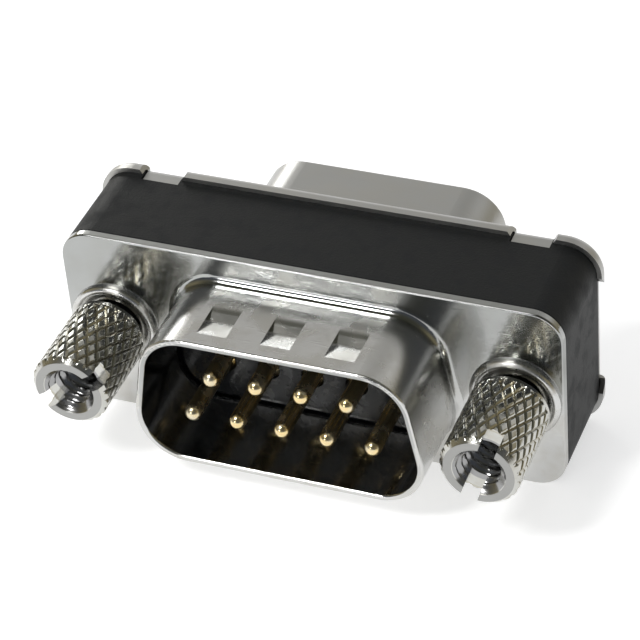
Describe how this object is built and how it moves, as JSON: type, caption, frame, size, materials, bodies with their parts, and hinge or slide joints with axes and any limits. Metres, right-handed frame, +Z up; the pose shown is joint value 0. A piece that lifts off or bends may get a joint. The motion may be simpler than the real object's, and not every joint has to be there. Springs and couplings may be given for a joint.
{
  "type": "d-sub adapter, pin side to socket side",
  "caption": "Slim D-sub adapter: pins in a metal shell in front, sockets behind, a black moulded block between and two captive knurled jackscrews that turn and slide.",
  "frame": {"origin": "on the connector's axis, in the plane of the front flange's front face", "axes": "+X to the right along the flange, +Y from the pin side to the socket side, +Z up from the wide row of five contacts to the row of four"},
  "size_m": [0.0314, 0.0201, 0.0132],
  "materials": {
    "bright_nickel": "bright plated",
    "satin_nickel": "satin plated",
    "rivet_nickel": "bright plated",
    "screw_nickel": "plated, knurled",
    "spring_steel": "oiled",
    "black_moulding": "matte",
    "black_insulator": "semi gloss",
    "gold": "thin gold plating"
  },
  "bodies": {
    "adapter": {"pin_shell": "bright_nickel", "socket_shell": "satin_nickel", "housing": "black_moulding", "pin_insulator": "black_insulator", "socket_insulator": "black_insulator", "contact_1": "gold", "contact_2": "gold", "contact_3": "gold", "contact_4": "gold", "contact_5": "gold", "contact_6": "gold", "contact_7": "gold", "contact_8": "gold", "contact_9": "gold", "eyelet_left": "rivet_nickel", "eyelet_right": "rivet_nickel"},
    "clip_left": {"retaining_clip_left": "spring_steel"},
    "screw_left": {"jackscrew_left": "screw_nickel"},
    "clip_right": {"retaining_clip_right": "spring_steel"},
    "screw_right": {"jackscrew_right": "screw_nickel"}
  },
  "joints": [
    {"name": "screw_left_travel", "type": "slide", "parent": "adapter", "child": "clip_left", "axis": [0, 1, 0], "range_m": [0, 0.00045]},
    {"name": "screw_left_turn", "type": "hinge", "parent": "clip_left", "child": "screw_left", "pos_m": [-0.01249, 0, 0], "axis": [0, 1, 0], "continuous": true},
    {"name": "screw_right_travel", "type": "slide", "parent": "adapter", "child": "clip_right", "axis": [0, 1, 0], "range_m": [0, 0.00045]},
    {"name": "screw_right_turn", "type": "hinge", "parent": "clip_right", "child": "screw_right", "pos_m": [0.01249, 0, 0], "axis": [0, 1, 0], "continuous": true}
  ]
}
